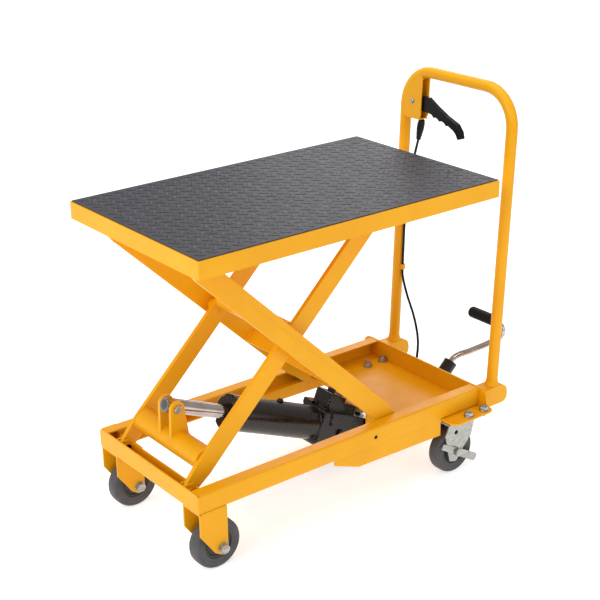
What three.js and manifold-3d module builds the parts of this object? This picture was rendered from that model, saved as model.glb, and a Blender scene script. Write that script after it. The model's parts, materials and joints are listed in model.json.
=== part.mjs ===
// Mobile hydraulic scissor lift table, millimetres, +Z up, +X towards the push handle.
// Its platform is raised by two pairs of crossed arms and one foot-pumped ram.
import * as THREE from 'three';
import { mergeVertices } from 'three/addons/utils/BufferGeometryUtils.js';
import Module from 'manifold-3d';

const wasm = await Module();
wasm.setup();

// ---------------------------------------------------------------- driving dimensions
const GAP = 0.3;                  // clearance between neighbouring pieces
const SHEET = 3.5;                // folded steel sheet of the base

const PLATFORM_LENGTH = 740;
const PLATFORM_WIDTH = 450;
const PLATFORM_TOP = 665;         // top of the steel sheet, at the height modelled
const PLATFORM_SKIRT = 35;
const PLATFORM_SHEET = 2.5;
const MAT_THICKNESS = 2;

const ARM_LENGTH = 696;           // between end pivots
const ARM_THICKNESS = 10;
const PIVOT_X = -346;             // both fixed pivots, base and platform
const PIVOT_Z = 160;              // base pivots and base rollers
const PLATFORM_PIVOT_DROP = 20;   // platform pivots and rollers below the sheet top
const INNER_ARM_Y = 117;          // mid-planes of the arms
const OUTER_ARM_Y = 147;
const INNER_ARM_DEPTH = 40;
const OUTER_ARM_DEPTH = 44;
const PIN_RADIUS = 8;

const BASE_FRONT = -365;
const BASE_REAR = 376.5;
const BASE_TOP = 180;
const BASE_BOTTOM = 139;
const BASE_HALF_WIDTH = 182;
const FLANGE = 28;                // width of the side rail flanges
const SKIRT_REAR = 266;           // rear end of the side rails' lower skirts
const SKIRT_Y = 179;              // outer face of those skirts
const CHANNEL_DEPTH = 35;         // front channel, front to back

const WHEEL_RADIUS = 52.5;
const AXLE_Z = 50;                // axle height in this drawing; the group then stands on z = 0
const WHEEL_WIDTH = 30;
const HUB_RADIUS = 31;
const FRONT_WHEEL_X = -313;
const FRONT_WHEEL_Y = 152.5;
const CASTER_X = 345;             // swivel axis of the rear casters
const CASTER_Y = 167;
const CASTER_TRAIL = 37;

const HANDLE_FOOT_X = 434;
const HANDLE_FOOT_Z = 125;
const HANDLE_LEAN = THREE.MathUtils.degToRad(2.8);
const HANDLE_POST_Y = 163;
const HANDLE_RADIUS = 12.5;
const HANDLE_HEIGHT = 695.5;      // foot to the top bar's centre line
const HANDLE_CORNER = 80;

const CLEVIS_ALONG = 118;         // clevis pin from the base pivot, along the inner arm
const CLEVIS_ABOVE = 56.9;        // and square to the arm
const CROSS_TUBE_ALONG = 67.6;     // cross tube of the inner arms, from the base pivot
const RAM_FOOT_X = 190;
const RAM_FOOT_Z = 70;
const TUBE_RADIUS = 37.5;
const ROD_RADIUS = 15;

const PEDAL_X = 223.4;            // pedal pivot
const PEDAL_Z = 81.7;
const PEDAL_Y = -18;
const PEDAL_ROD_RADIUS = 7;
const GRIP_RADIUS = 13;
const GRIP_X = 515;
const GRIP_Z = 272;

const CABLE_RADIUS = 3;
const AXLE_RADIUS = 6;            // wheel axles, clevis pin and pump foot pin
const FORK_FRONT = -363;          // front wheel forks
const FORK_REAR = -300;
const FORK_INNER_Y = 123;
const SOCKET_REAR = 468;          // box sockets of the push handle
const SOCKET_BOTTOM = 121.5;
const SOCKET_TOP = 165;
const RACE_RADIUS = 25;           // swivel bearing of the rear casters
const RACE_DEPTH = 9;
const TUBE_BORE = TUBE_RADIUS - 4.5;
const EAR_THICKNESS = 8;          // clevis ears on the inner cross tube
const EAR_NEAR = ROD_RADIUS + 0.7;

// ---------------------------------------------------------------- worked-out values
const platformPivotZ = PLATFORM_TOP - PLATFORM_PIVOT_DROP;
const armAngle = Math.asin((platformPivotZ - PIVOT_Z) / ARM_LENGTH);
const centreX = (GRIP_X + GRIP_RADIUS - PLATFORM_LENGTH / 2) / 2;
const clevisX = PIVOT_X + CLEVIS_ALONG * Math.cos(armAngle) - CLEVIS_ABOVE * Math.sin(armAngle);
const clevisZ = PIVOT_Z + CLEVIS_ALONG * Math.sin(armAngle) + CLEVIS_ABOVE * Math.cos(armAngle);
const ramLength = Math.hypot(RAM_FOOT_X - clevisX, clevisZ - RAM_FOOT_Z);
const ramAngle = Math.asin((clevisZ - RAM_FOOT_Z) / ramLength);
const SIDES = [
  { name: 'left', sign: -1 },
  { name: 'right', sign: 1 },
];

// ---------------------------------------------------------------- materials
const finish = (color, roughness, metalness) =>
  new THREE.MeshStandardMaterial({ color, roughness, metalness });
const yellowPaint = finish('#f2a51d', 0.36, 0.0);
const blackPaint = finish('#1b191a', 0.42, 0.0);
const greyRubber = finish('#59595b', 0.7, 0.0);
const greyPlastic = finish('#4b4c4d', 0.5, 0.0);
const matRubber = finish('#5d5d63', 0.45, 0.0);
const blackRubber = finish('#1d1d1d', 0.65, 0.0);
const zinc = finish('#b6b8b4', 0.4, 0.85);
const chrome = finish('#cfcfd2', 0.12, 1.0);

// ---------------------------------------------------------------- geometry helpers
function toSolid(geometry) {
  const bare = geometry.clone();
  bare.deleteAttribute('normal');
  bare.deleteAttribute('uv');
  const merged = mergeVertices(bare, 1e-4);
  const index = merged.index.array;
  const triangles = [];
  for (let i = 0; i < index.length; i += 3) {
    const [a, b, c] = [index[i], index[i + 1], index[i + 2]];
    if (a !== b && b !== c && c !== a) {
      triangles.push(a, b, c);
    }
  }
  return new wasm.Manifold(new wasm.Mesh({
    numProp: 3,
    vertProperties: new Float32Array(merged.attributes.position.array),
    triVerts: new Uint32Array(triangles),
  }));
}

function toGeometry(solid) {
  const mesh = solid.getMesh();
  const geometry = new THREE.BufferGeometry();
  geometry.setAttribute('position', new THREE.BufferAttribute(mesh.vertProperties, 3));
  geometry.setIndex(new THREE.BufferAttribute(mesh.triVerts, 1));
  geometry.computeVertexNormals();
  return geometry;
}

function join(first, ...others) {
  return toGeometry(others.reduce((sum, piece) => sum.add(toSolid(piece)), toSolid(first)));
}

function cut(body, ...tools) {
  return toGeometry(tools.reduce((rest, tool) => rest.subtract(toSolid(tool)), toSolid(body)));
}

function box(x0, x1, y0, y1, z0, z1) {
  const geometry = new THREE.BoxGeometry(x1 - x0, y1 - y0, z1 - z0);
  return geometry.translate((x0 + x1) / 2, (y0 + y1) / 2, (z0 + z1) / 2);
}

// A straight round bar between two points, as [x, y, z] lists.
function bar(start, end, radius, sides = 12) {
  const from = new THREE.Vector3(...start);
  const axis = new THREE.Vector3(...end).sub(from);
  const geometry = new THREE.CylinderGeometry(radius, radius, axis.length(), sides);
  geometry.translate(0, axis.length() / 2, 0);
  const turn = new THREE.Quaternion().setFromUnitVectors(new THREE.Vector3(0, 1, 0), axis.normalize());
  geometry.applyQuaternion(turn);
  return geometry.translate(from.x, from.y, from.z);
}

function barY(x, z, y0, y1, radius, sides = 12) {
  return bar([x, y0, z], [x, y1, z], radius, sides);
}

function barZ(x, y, z0, z1, radius, sides = 12) {
  return bar([x, y, z0], [x, y, z1], radius, sides);
}

// An outline drawn in XZ, extruded along Y from y0 to y1.
function plateY(shape, y0, y1, curveSegments = 4) {
  const geometry = new THREE.ExtrudeGeometry(shape, { depth: y1 - y0, bevelEnabled: false, curveSegments });
  const toWorld = new THREE.Matrix4().makeBasis(
    new THREE.Vector3(1, 0, 0), new THREE.Vector3(0, 0, 1), new THREE.Vector3(0, -1, 0));
  return geometry.applyMatrix4(toWorld).translate(0, y1, 0);
}

// An outline drawn in YZ, extruded along X from x0 to x1.
function plateX(shape, x0, x1, curveSegments = 4) {
  const geometry = new THREE.ExtrudeGeometry(shape, { depth: x1 - x0, bevelEnabled: false, curveSegments });
  const toWorld = new THREE.Matrix4().makeBasis(
    new THREE.Vector3(0, 1, 0), new THREE.Vector3(0, 0, 1), new THREE.Vector3(1, 0, 0));
  return geometry.applyMatrix4(toWorld).translate(x0, 0, 0);
}

// An outline drawn in XY, extruded upwards from z0 to z1.
function plateZ(shape, z0, z1, curveSegments = 4) {
  const geometry = new THREE.ExtrudeGeometry(shape, { depth: z1 - z0, bevelEnabled: false, curveSegments });
  return geometry.translate(0, 0, z0);
}

// A closed outline through points given as [a, b] or, with a rounded corner, [a, b, radius].
function outline(points) {
  const shape = new THREE.Shape();
  const count = points.length;
  points.forEach(([a, b, radius = 0], i) => {
    const here = new THREE.Vector2(a, b);
    const before = new THREE.Vector2(...points[(i + count - 1) % count].slice(0, 2));
    const after = new THREE.Vector2(...points[(i + 1) % count].slice(0, 2));
    const toBefore = before.sub(here).normalize();
    const toAfter = after.sub(here).normalize();
    const reach = radius / Math.tan(Math.acos(THREE.MathUtils.clamp(toBefore.dot(toAfter), -1, 1)) / 2);
    const start = here.clone().addScaledVector(toBefore, reach);
    if (i === 0) {
      shape.moveTo(start.x, start.y);
    } else {
      shape.lineTo(start.x, start.y);
    }
    if (radius > 0) {
      const end = here.clone().addScaledVector(toAfter, reach);
      shape.quadraticCurveTo(here.x, here.y, end.x, end.y);
    }
  });
  shape.closePath();
  return shape;
}

// A flat link along +X that narrows to a round end at each pivot.
function linkOutline(length, halfDepth, endRadius, taper) {
  const shape = new THREE.Shape();
  shape.absarc(0, 0, endRadius, Math.PI / 2, 3 * Math.PI / 2, false);
  shape.lineTo(taper, -halfDepth);
  shape.lineTo(length - taper, -halfDepth);
  shape.absarc(length, 0, endRadius, -Math.PI / 2, Math.PI / 2, false);
  shape.lineTo(length - taper, halfDepth);
  shape.lineTo(taper, halfDepth);
  shape.closePath();
  return shape;
}

// A curve that an extrusion follows through chosen stations, so straight runs stay one step.
class StationCurve extends THREE.Curve {
  constructor(stations) {
    super();
    this.stations = stations.map((p) => new THREE.Vector3(...p));
  }
  getSpacedPoints() {
    return this.stations;
  }
  getTangentAt(u, target = new THREE.Vector3()) {
    const last = this.stations.length - 1;
    const i = Math.round(u * last);
    const ahead = this.stations[Math.min(i + 1, last)].clone().sub(this.stations[Math.min(i, last - 1)]);
    const behind = this.stations[Math.max(i, 1)].clone().sub(this.stations[Math.max(i - 1, 0)]);
    return target.copy(ahead.normalize().add(behind.normalize())).normalize();
  }
}

function tube(stations, radius, sides = 12) {
  const section = new THREE.Shape();
  for (let i = 0; i < sides; i += 1) {
    const angle = (i + 0.5) * 2 * Math.PI / sides;
    const [a, b] = [radius * Math.cos(angle), radius * Math.sin(angle)];
    if (i === 0) {
      section.moveTo(a, b);
    } else {
      section.lineTo(a, b);
    }
  }
  section.closePath();
  return new THREE.ExtrudeGeometry(section, {
    steps: stations.length - 1,
    extrudePath: new StationCurve(stations),
    bevelEnabled: false,
  });
}

// A turned piece about the Y axis; the profile lists [radius, y] and closes on the axis or on itself.
function turned(profile, sides) {
  return new THREE.LatheGeometry(profile.map(([r, y]) => new THREE.Vector2(r, y)), sides);
}

// A hexagon head or nut with its axis along Y.
function hexY(x, z, y0, y1, acrossFlats) {
  return barY(x, z, y0, y1, acrossFlats / Math.sqrt(3), 6);
}

// The two Y faces of a slab on one side of the table, in rising order.
function span(sign, near, far) {
  return sign > 0 ? [near, far] : [-far, -near];
}

function piece(name, geometry, material, position = [0, 0, 0]) {
  const mesh = new THREE.Mesh(toGeometry(toSolid(geometry)), material);
  mesh.name = name;
  mesh.position.set(...position);
  return mesh;
}

// ---------------------------------------------------------------- base frame
function frontChannel() {
  const halfLength = BASE_HALF_WIDTH - SHEET - GAP;
  const back = BASE_FRONT + CHANNEL_DEPTH;
  const backTop = BASE_TOP - 13;
  const bend = 4.5;
  const profile = outline([
    [BASE_FRONT, BASE_TOP], [BASE_FRONT, BASE_BOTTOM, bend], [back, BASE_BOTTOM, bend], [back, backTop],
    [back - SHEET, backTop], [back - SHEET, BASE_BOTTOM + SHEET, 1],
    [BASE_FRONT + SHEET, BASE_BOTTOM + SHEET, 1], [BASE_FRONT + SHEET, BASE_TOP],
  ]);
  let body = plateY(profile, -halfLength, halfLength);
  const earHalf = 14;
  const earTop = 17;
  const ear = outline([
    [PIVOT_X - earHalf, BASE_BOTTOM + 1], [PIVOT_X + earHalf, BASE_BOTTOM + 1],
    [PIVOT_X + earHalf, PIVOT_Z + earTop, 8], [PIVOT_X - earHalf, PIVOT_Z + earTop, 8],
  ]);
  const armFace = ARM_THICKNESS / 2 + 1;
  for (const { sign } of SIDES) {
    const [slotNear, slotFar] = span(sign, INNER_ARM_Y - armFace, INNER_ARM_Y + armFace);
    body = cut(body, box(back - SHEET - 1, back + 1, slotNear, slotFar, BASE_BOTTOM + SHEET, BASE_TOP + 1));
  }
  for (const { sign } of SIDES) {
    const [innerNear, innerFar] = span(sign, INNER_ARM_Y - armFace - SHEET, INNER_ARM_Y - armFace);
    const [outerNear, outerFar] = span(sign, INNER_ARM_Y + armFace, INNER_ARM_Y + armFace + SHEET);
    const [pinStart, pinEnd] = span(sign, INNER_ARM_Y - 13, INNER_ARM_Y + 13);
    body = join(
      body,
      plateY(ear, innerNear, innerFar),
      plateY(ear, outerNear, outerFar),
      barY(PIVOT_X, PIVOT_Z, pinStart, pinEnd, PIN_RADIUS),
    );
  }
  return piece('front_channel', body, yellowPaint);
}

// A C channel open inwards; its web runs on past the end of the front channel, its top flange runs
// on over that channel's low back wall, and a skirt plate is welded under its bottom flange.
function sideRail({ name, sign }) {
  const flangeThickness = 3;
  const bend = 5;
  const outer = sign * BASE_HALF_WIDTH;
  const web = sign * (BASE_HALF_WIDTH - SHEET);
  const lip = sign * (BASE_HALF_WIDTH - FLANGE);
  const profile = outline([
    [lip, BASE_BOTTOM], [outer, BASE_BOTTOM, bend], [outer, BASE_TOP, bend], [lip, BASE_TOP],
    [lip, BASE_TOP - flangeThickness], [web, BASE_TOP - flangeThickness, 1.5],
    [web, BASE_BOTTOM + flangeThickness, 1.5], [lip, BASE_BOTTOM + flangeThickness],
  ]);
  const [webNear, webFar] = span(sign, BASE_HALF_WIDTH - SHEET, BASE_HALF_WIDTH);
  const [lipNear, lipFar] = span(sign, BASE_HALF_WIDTH - FLANGE, BASE_HALF_WIDTH - 1);
  const [skirtNear, skirtFar] = span(sign, SKIRT_Y - SHEET, SKIRT_Y);
  const channelFront = BASE_FRONT + CHANNEL_DEPTH + GAP;
  const flangeFront = BASE_FRONT + SHEET + GAP;
  const skirt = outline([
    [-29, BASE_BOTTOM + 1], [-29, 127], [34, 103.5], [SKIRT_REAR, 99], [SKIRT_REAR, BASE_BOTTOM + 1],
  ]);
  const body = cut(
    join(
      plateX(profile, channelFront, BASE_REAR),
      box(BASE_FRONT, channelFront + 2, webNear, webFar, BASE_BOTTOM + bend / 2, BASE_TOP - bend / 2),
      box(flangeFront, channelFront + 2, lipNear, lipFar, BASE_TOP - flangeThickness, BASE_TOP),
      plateY(skirt, skirtNear, skirtFar),
    ),
    barY(78, 159, webNear - 1, webFar + 1, 3.5),
  );
  return piece(`side_rail_${name}`, body, yellowPaint);
}

const FLOOR_TOP = BASE_BOTTOM - GAP;
const SOCKET_FRONT = BASE_REAR + GAP + SHEET + GAP;
const SOCKET_HALF_WIDTH = 18;
const BOLT_RADIUS = 5;
const CASTER_BOLTS = [-23, 23].flatMap((dx) => [-40, 40].map((dy) => [dx, dy]));

function rearTray() {
  const floorFront = 182;
  const wingFront = SKIRT_REAR + GAP;
  const wingRear = 389;
  const wing = 222;
  const corner = 20;
  const inside = SKIRT_Y - SHEET - GAP;
  const floor = outline([
    [floorFront, -inside], [wingFront, -inside], [wingFront, -wing, corner], [wingRear, -wing, corner],
    [wingRear, wing, corner], [wingFront, wing, corner], [wingFront, inside], [floorFront, inside],
  ]);
  const wall = outline([
    [-205, FLOOR_TOP - 1], [205, FLOOR_TOP - 1], [205, BASE_TOP + 1, 24], [-205, BASE_TOP + 1, 24],
  ]);
  const wallFront = BASE_REAR + GAP;
  const holes = SIDES.flatMap(({ sign }) => CASTER_BOLTS.map(([dx, dy]) =>
    barZ(CASTER_X + dx, sign * (CASTER_Y + dy), FLOOR_TOP - 10, FLOOR_TOP + 2, BOLT_RADIUS + GAP)));
  const notches = SIDES.map(({ sign }) => {
    const centre = sign * HANDLE_POST_Y;
    const reach = SOCKET_HALF_WIDTH + GAP;
    return box(SOCKET_FRONT - GAP, wingRear + 1, centre - reach, centre + reach, 100, BASE_BOTTOM + 1);
  });
  const body = cut(join(
    plateZ(floor, FLOOR_TOP - SHEET, FLOOR_TOP),
    plateX(wall, wallFront, wallFront + SHEET),
  ), ...holes, ...notches);
  return piece('rear_tray', body, yellowPaint);
}

function handleSocket({ name, sign }) {
  const front = SOCKET_FRONT;
  const side = outline([
    [front, SOCKET_BOTTOM], [SOCKET_REAR, SOCKET_BOTTOM, 18], [SOCKET_REAR, SOCKET_TOP, 22],
    [front, SOCKET_TOP],
  ]);
  const below = SOCKET_BOTTOM - 20;
  const hollowRear = SOCKET_REAR - 14;
  const hollow = outline([
    [front + SHEET, below], [hollowRear, below],
    [hollowRear, SOCKET_TOP - SHEET, 8], [front + SHEET, SOCKET_TOP - SHEET],
  ]);
  const [near, far] = span(sign, HANDLE_POST_Y - SOCKET_HALF_WIDTH, HANDLE_POST_Y + SOCKET_HALF_WIDTH);
  const wall = SHEET;
  const post = bar([0, 0, -40], [0, 0, 90], HANDLE_RADIUS + GAP, 24)
    .rotateY(HANDLE_LEAN).translate(HANDLE_FOOT_X, sign * HANDLE_POST_Y, HANDLE_FOOT_Z);
  const body = cut(plateY(side, near, far), plateY(hollow, near + wall, far - wall), post);
  return piece(`handle_socket_${name}`, body, yellowPaint);
}

function frontFork({ name, sign }) {
  const top = BASE_BOTTOM - GAP;
  const plate = outline([
    [FORK_FRONT, top], [FORK_FRONT, 90], [-331, 44, 8], [FRONT_WHEEL_X, 33, 10],
    [FORK_REAR, 40, 8], [FORK_REAR, top],
  ]);
  const [outerNear, outerFar] = span(sign, BASE_HALF_WIDTH - SHEET, BASE_HALF_WIDTH);
  const [innerNear, innerFar] = span(sign, FORK_INNER_Y, FORK_INNER_Y + SHEET);
  const [crownNear, crownFar] = span(sign, FORK_INNER_Y + 1, BASE_HALF_WIDTH - 1);
  const [holeStart, holeEnd] = span(sign, FORK_INNER_Y - 10, BASE_HALF_WIDTH + 10);
  const body = cut(
    join(
      plateY(plate, outerNear, outerFar),
      plateY(plate, innerNear, innerFar),
      box(FORK_FRONT, FORK_REAR, crownNear, crownFar, top - SHEET, top),
    ),
    barY(FRONT_WHEEL_X, AXLE_Z, holeStart, holeEnd, AXLE_RADIUS + GAP),
  );
  return piece(`front_fork_${name}`, body, yellowPaint);
}

function frontAxle({ name, sign }) {
  const acrossFlats = 19;
  const [shankStart, shankEnd] = span(sign, FORK_INNER_Y - 7, BASE_HALF_WIDTH + 7);
  const [headStart, headEnd] = span(sign, BASE_HALF_WIDTH + GAP, BASE_HALF_WIDTH + 8);
  const [nutStart, nutEnd] = span(sign, FORK_INNER_Y - 9, FORK_INNER_Y - GAP);
  const body = join(
    barY(FRONT_WHEEL_X, AXLE_Z, shankStart, shankEnd, AXLE_RADIUS),
    hexY(FRONT_WHEEL_X, AXLE_Z, headStart, headEnd, acrossFlats),
    hexY(FRONT_WHEEL_X, AXLE_Z, nutStart, nutEnd, acrossFlats),
  );
  return piece(`front_axle_${name}`, body, zinc);
}

function pumpBracket() {
  const top = FLOOR_TOP - SHEET - GAP;
  const half = 20;
  const cheek = outline([
    [RAM_FOOT_X - half, top], [RAM_FOOT_X - half, RAM_FOOT_Z - 17, 10],
    [RAM_FOOT_X + half, RAM_FOOT_Z - 17, 10], [RAM_FOOT_X + half, top],
  ]);
  const cheekNear = 42;
  const cheekFar = cheekNear + 5;
  const body = join(
    plateY(cheek, cheekNear, cheekFar),
    plateY(cheek, -cheekFar, -cheekNear),
    box(RAM_FOOT_X - half, RAM_FOOT_X + 70, -cheekFar, cheekFar, top - 5, top),
    barY(RAM_FOOT_X, RAM_FOOT_Z, -cheekFar - 3, cheekFar + 3, AXLE_RADIUS),
  );
  return piece('pump_bracket', body, yellowPaint);
}

// ---------------------------------------------------------------- wheels
// Turned about Y and centred on the axle.
function wheelTyre() {
  const half = WHEEL_WIDTH / 2;
  const shoulder = 5;
  return turned([
    [HUB_RADIUS, -half + 1], [WHEEL_RADIUS - shoulder, -half], [WHEEL_RADIUS - 1, -half + 3],
    [WHEEL_RADIUS, -half + 8], [WHEEL_RADIUS, half - 8], [WHEEL_RADIUS - 1, half - 3],
    [WHEEL_RADIUS - shoulder, half], [HUB_RADIUS, half - 1], [HUB_RADIUS, -half + 1],
  ], 32);
}

function wheelHub(bossHalf) {
  const half = WHEEL_WIDTH / 2 - 4;
  const bore = AXLE_RADIUS + GAP;
  const rim = HUB_RADIUS - GAP;
  return turned([
    [bore, -bossHalf], [13, -bossHalf], [14, -half], [rim, -half],
    [rim, half], [14, half], [13, bossHalf], [bore, bossHalf], [bore, -bossHalf],
  ], 32);
}

// A tyre on its hub; the lowest point of the tread lies exactly on the floor.
function wheel(prefix, { name }, bossHalf) {
  const group = new THREE.Group();
  group.add(
    piece(`${prefix}_tyre_${name}`, wheelTyre(), greyRubber),
    piece(`${prefix}_hub_${name}`, wheelHub(bossHalf), greyPlastic),
  );
  return group;
}

function frontWheel(side) {
  const group = wheel('front', side, 24);
  group.position.set(FRONT_WHEEL_X, side.sign * FRONT_WHEEL_Y, AXLE_Z);
  return group;
}

function casterPlate({ name, sign }) {
  const top = FLOOR_TOP - SHEET - GAP;
  const plate = outline([
    [CASTER_X - 33, -50, 8], [CASTER_X + 33, -50, 8], [CASTER_X + 33, 50, 8], [CASTER_X - 33, 50, 8],
  ]);
  let body = join(
    plateZ(plate, top - 3, top),
    barZ(CASTER_X, 0, top - RACE_DEPTH, top - 2, RACE_RADIUS, 24),
  );
  for (const [dx, dy] of CASTER_BOLTS) {
    body = join(
      body,
      barZ(CASTER_X + dx, dy, top - 9, FLOOR_TOP + 4, BOLT_RADIUS),
      barZ(CASTER_X + dx, dy, FLOOR_TOP + GAP, FLOOR_TOP + 7, 8, 6),
    );
  }
  return piece(`caster_plate_${name}`, body, zinc, [0, sign * CASTER_Y, 0]);
}

// The swivelling fork, drawn about the swivel axis, with its axle bolt.
function casterFork({ name, sign }) {
  const crownTop = FLOOR_TOP - SHEET - GAP - RACE_DEPTH - GAP;
  const crownBottom = crownTop - 10;
  const cheek = outline([
    [-60, crownTop - 6, 4], [17, crownTop - 6, 4], [6, 78, 6], [-20, 50, 4], [-37, 26, 6],
    [-57, 31, 6], [-65, 62, 6], [-71, 95, 6],
  ]);
  const near = WHEEL_WIDTH / 2 + 3;
  const far = near + 3;
  const axleX = -CASTER_TRAIL;
  const body = join(
    plateY(cheek, near, far),
    plateY(cheek, -far, -near),
    box(-60, 24, -far + 0.5, far - 0.5, crownBottom, crownBottom + 4),
    barZ(0, 0, crownBottom, crownTop, RACE_RADIUS, 24),
    barY(axleX, AXLE_Z, -far - 9, far + 9, AXLE_RADIUS),
    hexY(axleX, AXLE_Z, far + 4, far + 9, 17),
    hexY(axleX, AXLE_Z, -far - 9, -far - 4, 17),
  );
  return piece(`caster_fork_${name}`, body, zinc, [CASTER_X, sign * CASTER_Y, 0]);
}

// The pressed side lever that locks a rear wheel, drawn about the axle.
function brakeLever({ name, sign }) {
  const slope = THREE.MathUtils.degToRad(30);
  const lever = outline([
    [-52, -7, 3], [-14, -7], [14, -9], [66, -9, 8], [66, 9, 8], [14, 9], [-14, 7], [-52, 7, 3],
  ]);
  const forkFace = WHEEL_WIDTH / 2 + 6;
  const [near, far] = span(sign, forkFace + GAP, forkFace + GAP + 3);
  const [holeStart, holeEnd] = span(sign, forkFace - 5, forkFace + 10);
  const body = cut(plateY(lever, near, far), barY(0, 0, holeStart, holeEnd, AXLE_RADIUS + GAP))
    .rotateY(slope);
  const mesh = piece(`brake_lever_${name}`, body, zinc);
  mesh.position.set(CASTER_X - CASTER_TRAIL, sign * CASTER_Y, AXLE_Z);
  return mesh;
}

function rearCaster(side) {
  const group = new THREE.Group();
  const rolling = wheel('rear', side, 17.4);
  rolling.position.set(CASTER_X - CASTER_TRAIL, side.sign * CASTER_Y, AXLE_Z);
  group.add(casterPlate(side), casterFork(side), brakeLever(side), rolling);
  return group;
}

// ---------------------------------------------------------------- scissor arms
// Both pairs are drawn in a frame with its origin at the fixed pivot and +X along the arm.
// The free end of each arm carries the stub axle of its roller, which reaches to stubEnd.
function arm(name, y, depth, stubEnd) {
  const endRadius = 14;
  const taper = 50;
  const [near, far] = [y - ARM_THICKNESS / 2, y + ARM_THICKNESS / 2];
  const hole = PIN_RADIUS + GAP;
  const link = cut(
    plateY(linkOutline(ARM_LENGTH, depth / 2, endRadius, taper), near, far, 10),
    ...[0, ARM_LENGTH / 2].map((x) => barY(x, 0, near - 1, far + 1, hole)),
  );
  const stub = barY(ARM_LENGTH, 0, Math.min(y, stubEnd), Math.max(y, stubEnd), PIN_RADIUS);
  return piece(name, join(link, stub), yellowPaint);
}

// The capped tube has one small drain hole in its underside.
function innerCrossTube() {
  const along = CROSS_TUBE_ALONG;
  const radius = 25;
  const half = INNER_ARM_Y - ARM_THICKNESS / 2 - GAP;
  const ear = new THREE.Shape();
  const lean = Math.atan2(CLEVIS_ABOVE, CLEVIS_ALONG - along);
  ear.absarc(CLEVIS_ALONG, CLEVIS_ABOVE, 16, lean - Math.PI / 2, lean + Math.PI / 2, false);
  ear.absarc(along, 0, 22, lean + Math.PI / 2, lean + 3 * Math.PI / 2, false);
  ear.closePath();
  const earFar = EAR_NEAR + EAR_THICKNESS;
  const body = cut(
    join(
      barY(along, 0, -half, half, radius, 28),
      plateY(ear, EAR_NEAR, earFar, 10),
      plateY(ear, -earFar, -EAR_NEAR, 10),
    ),
    barY(along, 0, -half + SHEET, half - SHEET, radius - SHEET, 28),
    bar([along, half - 20, 0], [along, half - 20, -2 * radius], 3),
    barY(CLEVIS_ALONG, CLEVIS_ABOVE, -earFar - 1, earFar + 1, AXLE_RADIUS + GAP),
  );
  return piece('inner_cross_tube', body, yellowPaint);
}

function clevisPin() {
  const face = EAR_NEAR + EAR_THICKNESS + GAP;
  const headRadius = 9;
  const body = join(
    barY(CLEVIS_ALONG, CLEVIS_ABOVE, -face - 1, face + 1, AXLE_RADIUS),
    barY(CLEVIS_ALONG, CLEVIS_ABOVE, face, face + 3, headRadius),
    barY(CLEVIS_ALONG, CLEVIS_ABOVE, -face - 3, -face, headRadius),
  );
  return piece('clevis_pin', body, zinc);
}

function innerCentreTube() {
  const half = INNER_ARM_Y - ARM_THICKNESS / 2 - GAP;
  const along = ARM_LENGTH / 2 + 17;
  const above = 8;
  const radius = 19;
  const body = cut(
    barY(along, above, -half, half, radius, 24),
    barY(along, above, -half - 1, half + 1, radius - SHEET, 24),
  );
  return piece('inner_centre_tube', body, yellowPaint);
}

// The centre pins stop short of the centre tube and end flush with the outer arms.
function centrePin({ name, sign }) {
  const inside = INNER_ARM_Y - ARM_THICKNESS / 2;
  const outside = OUTER_ARM_Y + ARM_THICKNESS / 2;
  const [start, end] = span(sign, inside, outside);
  const [collarStart, collarEnd] = span(sign, INNER_ARM_Y + 5 + GAP, OUTER_ARM_Y - 5 - GAP);
  const middle = ARM_LENGTH / 2;
  const body = join(
    barY(middle, 0, start, end, PIN_RADIUS),
    barY(middle, 0, collarStart, collarEnd, 14, 16),
  );
  return piece(`centre_pin_${name}`, body, yellowPaint);
}

function outerCrossPlate() {
  const half = OUTER_ARM_Y - ARM_THICKNESS / 2 - GAP;
  const along = ARM_LENGTH / 2 + 132;
  return piece('outer_cross_plate', box(along, along + 6, -half, half, -21, 7.5), yellowPaint);
}

// A roller on its stub axle, turned about Y.
function roller(name, y0, y1, radius, along) {
  const body = turned([
    [PIN_RADIUS + GAP, y0], [radius, y0], [radius, y1], [PIN_RADIUS + GAP, y1], [PIN_RADIUS + GAP, y0],
  ], 24);
  return piece(name, body, zinc, [along, 0, 0]);
}

function innerArms() {
  const group = new THREE.Group();
  group.position.set(PIVOT_X, 0, PIVOT_Z);
  group.rotation.y = -armAngle;
  group.add(innerCrossTube(), innerCentreTube(), clevisPin());
  for (const side of SIDES) {
    const stubEnd = 90;
    const [near, far] = span(side.sign, stubEnd, INNER_ARM_Y - ARM_THICKNESS / 2 - GAP);
    group.add(
      arm(`inner_arm_${side.name}`, side.sign * INNER_ARM_Y, INNER_ARM_DEPTH, side.sign * stubEnd),
      centrePin(side),
      roller(`platform_roller_${side.name}`, near, far, 13, ARM_LENGTH),
    );
  }
  return group;
}

function outerArms() {
  const group = new THREE.Group();
  group.position.set(PIVOT_X, 0, platformPivotZ);
  group.rotation.y = armAngle;
  group.add(outerCrossPlate());
  for (const side of SIDES) {
    const stubEnd = BASE_HALF_WIDTH - SHEET - 1.5;
    const [near, far] = span(side.sign, OUTER_ARM_Y + ARM_THICKNESS / 2 + GAP, stubEnd);
    group.add(
      arm(`outer_arm_${side.name}`, side.sign * OUTER_ARM_Y, OUTER_ARM_DEPTH, side.sign * stubEnd),
      roller(`base_roller_${side.name}`, near, far, 16.5, ARM_LENGTH),
    );
  }
  return group;
}

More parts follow.
